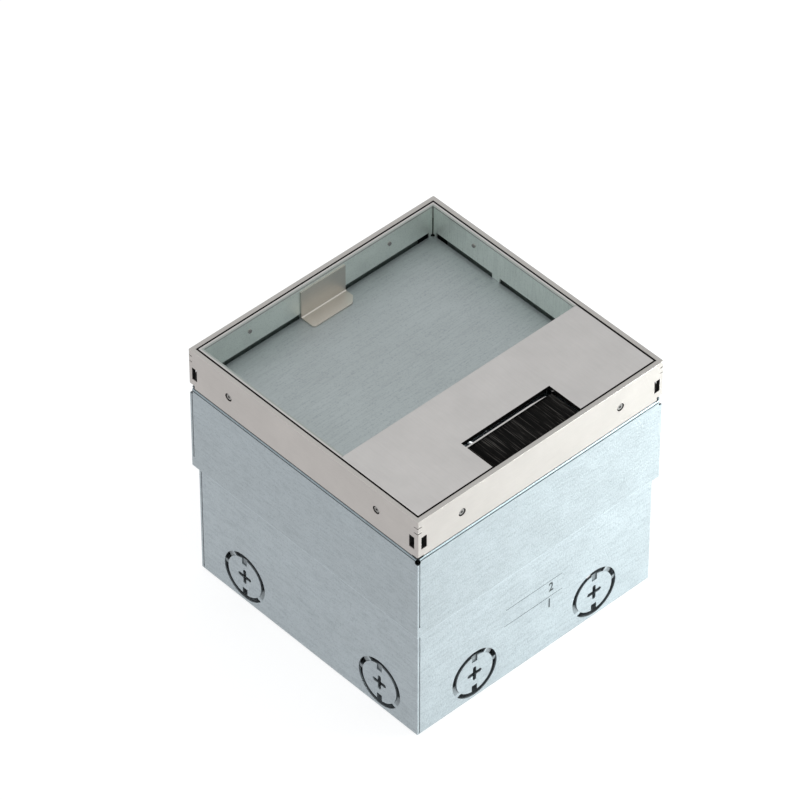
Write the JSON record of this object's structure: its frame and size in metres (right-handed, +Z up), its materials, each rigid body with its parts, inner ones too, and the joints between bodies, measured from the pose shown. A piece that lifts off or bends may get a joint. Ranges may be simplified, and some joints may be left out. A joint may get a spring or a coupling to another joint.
{
  "type": "floor socket box",
  "caption": "Square floor socket box with a sliding height sleeve, stainless trim frame, recessed lift-out lid with brush cable outlet, knockouts and sockets inside.",
  "frame": {"origin": "middle of the underside of the lower box, on the floor slab", "axes": "+Z up; the cable outlet is on the -Y side; +X to the right seen from that side"},
  "size_m": [0.2, 0.2, 0.1854],
  "materials": {
    "galvanised": "bare galvanised steel",
    "stainless": "brushed stainless steel",
    "dark_steel": "dark plated steel",
    "zinc": "zinc plated steel",
    "white_plastic": "moulded plastic",
    "brass": "bare brass",
    "foam": "foam rubber",
    "bristle": "black nylon bristles",
    "grey_plastic": "grey moulded plastic"
  },
  "bodies": {
    "base": {"lower_box": "galvanised", "clamp_studs": "zinc", "clamp_nuts": "zinc", "device_carrier": "galvanised", "carrier_bracket_left": "galvanised", "carrier_bracket_right": "galvanised", "carrier_screws": "zinc", "centre_screws": "zinc", "terminal_block": "grey_plastic", "terminal_screws": "zinc", "earth_stud": "zinc", "earth_washers": "zinc", "earth_nut": "zinc", "cable_clamps": "galvanised", "cable_clamp_screws": "zinc", "socket_insert_1": "white_plastic", "socket_contacts_1": "brass", "earth_clips_1": "zinc", "socket_insert_2": "white_plastic", "socket_contacts_2": "brass", "earth_clips_2": "zinc", "socket_insert_3": "white_plastic", "socket_contacts_3": "brass", "earth_clips_3": "zinc", "socket_insert_4": "white_plastic", "socket_contacts_4": "brass", "earth_clips_4": "zinc"},
    "sleeve": {"height_sleeve": "galvanised", "height_strap_front": "galvanised", "height_strap_right": "galvanised", "height_strap_rear": "galvanised", "height_strap_left": "galvanised", "flange_nuts": "zinc"},
    "frame": {"trim_frame": "stainless", "frame_seal": "foam", "support_ledge": "galvanised", "side_screws": "dark_steel", "corner_connectors": "dark_steel", "ledge_gasket": "foam"},
    "lid": {"lid_tray": "galvanised", "lid_rim": "stainless", "rim_rivets": "dark_steel", "cover_plate": "stainless", "plate_stiffeners": "galvanised", "brush_holder": "stainless", "brush_bristles": "bristle", "lifting_tab": "stainless"},
    "levelling_1": {"levelling_screw_1": "zinc", "retaining_clip_1": "zinc"},
    "levelling_2": {"levelling_screw_2": "zinc", "retaining_clip_2": "zinc"},
    "levelling_3": {"levelling_screw_3": "zinc", "retaining_clip_3": "zinc"},
    "levelling_4": {"levelling_screw_4": "zinc", "retaining_clip_4": "zinc"}
  },
  "joints": [
    {"name": "sleeve_height", "type": "slide", "parent": "base", "child": "sleeve", "axis": [0, 0, 1], "range_m": [-0.0443, 0.004]},
    {"name": "frame_level", "type": "slide", "parent": "sleeve", "child": "frame", "axis": [0, 0, 1], "range_m": [0, 0.015]},
    {"name": "lid_lift", "type": "slide", "parent": "frame", "child": "lid", "axis": [0, 0, 1], "range_m": [0, 0.06]},
    {"name": "levelling_screw_1_turn", "type": "hinge", "parent": "frame", "child": "levelling_1", "pos_m": [0.09, 0.09, 0.158], "axis": [0, 0, 1], "range_deg": [0, 6760]},
    {"name": "levelling_screw_2_turn", "type": "hinge", "parent": "frame", "child": "levelling_2", "pos_m": [-0.09, 0.09, 0.158], "axis": [0, 0, 1], "range_deg": [0, 6760]},
    {"name": "levelling_screw_3_turn", "type": "hinge", "parent": "frame", "child": "levelling_3", "pos_m": [-0.09, -0.09, 0.158], "axis": [0, 0, 1], "range_deg": [0, 6760]},
    {"name": "levelling_screw_4_turn", "type": "hinge", "parent": "frame", "child": "levelling_4", "pos_m": [0.09, -0.09, 0.158], "axis": [0, 0, 1], "range_deg": [0, 6760]}
  ],
  "couplings": [
    {"joint": "levelling_screw_1_turn", "follows": "frame_level", "rad_per_m": 7854},
    {"joint": "levelling_screw_2_turn", "follows": "frame_level", "rad_per_m": 7854},
    {"joint": "levelling_screw_3_turn", "follows": "frame_level", "rad_per_m": 7854},
    {"joint": "levelling_screw_4_turn", "follows": "frame_level", "rad_per_m": 7854}
  ]
}
